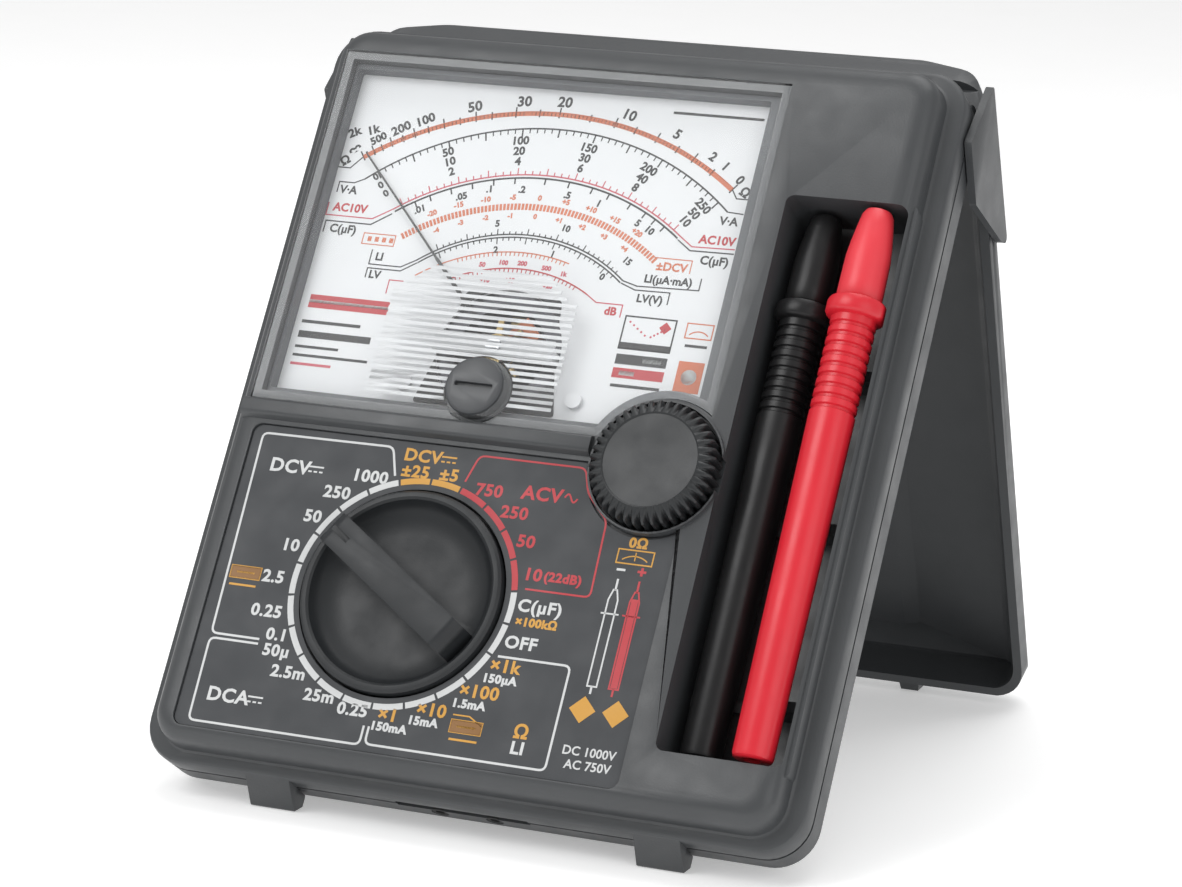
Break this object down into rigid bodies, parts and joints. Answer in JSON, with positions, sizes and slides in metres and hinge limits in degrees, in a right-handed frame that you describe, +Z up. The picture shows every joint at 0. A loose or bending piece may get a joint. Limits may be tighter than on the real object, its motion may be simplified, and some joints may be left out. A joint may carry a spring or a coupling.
{
  "type": "analog multimeter",
  "caption": "Pocket analog multimeter leaning on its fold-out stand cover, with a needle dial, a range switch, a zero knob and a trough holding two test probes.",
  "frame": {"origin": "middle of the box the part stands in, at the height of its feet", "axes": "+Z up, +X to the right of someone reading the dial, +Y from the dial towards the stand cover"},
  "size_m": [0.1344, 0.1566, 0.1383],
  "materials": {
    "case_plastic": "fine grained",
    "clear_plastic": "clear, polished",
    "bezel_plastic": "satin",
    "dial_card": "matt white print",
    "black_plastic": "fine grained",
    "dark_plastic": "satin",
    "red_plastic": "satin",
    "board": "lacquered",
    "brass": "plain",
    "steel": "plated",
    "bright_steel": "polished",
    "light_metal": "plain",
    "copper_wire": "enamelled wire",
    "cell_sleeve": "printed sleeve",
    "glass": "clear",
    "component_body": "lacquered",
    "blue_plastic": "moulded",
    "pointer_paint": "matt",
    "rubber": "soft",
    "magnet_steel": "ground"
  },
  "bodies": {
    "case": {"front_case": "case_plastic", "rear_case": "case_plastic", "case_screws": "steel", "window": "clear_plastic", "dial_bezel": "bezel_plastic", "dial_plate": "dial_card", "dial_screws": "steel", "range_plate": "dark_plastic", "circuit_board": "board", "switch_pads": "brass", "resistors": "component_body", "capacitors": "blue_plastic", "diodes": "black_plastic", "trimmer": "blue_plastic", "potentiometer": "black_plastic", "lead_grommets": "rubber", "meter_frame": "bezel_plastic", "meter_yoke": "magnet_steel", "meter_core": "magnet_steel", "core_holder": "brass", "meter_bridges": "brass", "jewel_screws": "steel", "aa_cells": "cell_sleeve", "battery_contacts": "steel", "fuse": "glass", "fuse_clips": "brass"},
    "cover": {"stand_cover": "case_plastic"},
    "range_switch": {"range_knob": "dark_plastic", "switch_rotor": "component_body", "wipers": "brass", "detent_balls": "steel", "detent_springs": "steel", "knob_clip": "steel"},
    "zero_ohm": {"zero_ohm_knob": "dark_plastic", "pot_shaft": "steel"},
    "corrector": {"zero_corrector": "black_plastic"},
    "corrector_lever": {"zero_lever": "brass"},
    "moving_coil": {"pointer": "pointer_paint", "coil_former": "light_metal", "coil_winding": "copper_wire", "coil_pivots": "steel", "balance_weights": "brass", "hairsprings": "brass"},
    "black_probe": {"black_probe_barrel": "black_plastic", "black_probe_cap": "black_plastic", "black_probe_pin": "bright_steel"},
    "red_probe": {"red_probe_barrel": "red_plastic", "red_probe_cap": "red_plastic", "red_probe_pin": "bright_steel"}
  },
  "joints": [
    {"name": "cover_fold", "type": "hinge", "parent": "case", "child": "cover", "pos_m": [0, 0.01084, 0.12646], "axis": [-1, 0, 0], "range_deg": [0, 54.3]},
    {"name": "range_knob_turn", "type": "hinge", "parent": "case", "child": "range_switch", "pos_m": [-0.0182, -0.06029, 0.04176], "axis": [0, 0.8454, -0.5341], "continuous": true},
    {"name": "zero_ohm_turn", "type": "hinge", "parent": "case", "child": "zero_ohm", "pos_m": [0.0253, -0.04438, 0.06695], "axis": [0, 0.8454, -0.5341], "range_deg": [-135, 135]},
    {"name": "corrector_turn", "type": "hinge", "parent": "case", "child": "corrector", "pos_m": [-0.0137, -0.03829, 0.07659], "axis": [0, 0.8454, -0.5341], "range_deg": [-25, 25]},
    {"name": "corrector_lever_turn", "type": "hinge", "parent": "case", "child": "corrector_lever", "pos_m": [-0.0137, -0.03306, 0.08488], "axis": [0, 0.8454, -0.5341], "range_deg": [-8, 8]},
    {"name": "pointer_swing", "type": "hinge", "parent": "case", "child": "moving_coil", "pos_m": [-0.0137, -0.03306, 0.08488], "axis": [0, 0.8454, -0.5341], "range_deg": [-1, 90], "stiffness_Nm_per_rad": 0.0002},
    {"name": "black_probe_lift", "type": "slide", "parent": "case", "child": "black_probe", "axis": [0, -0.8454, 0.5341], "range_m": [0, 0.02]},
    {"name": "red_probe_lift", "type": "slide", "parent": "case", "child": "red_probe", "axis": [0, -0.8454, 0.5341], "range_m": [0, 0.02]}
  ],
  "couplings": [
    {"joint": "corrector_lever_turn", "follows": "corrector_turn", "ratio": -0.305}
  ]
}
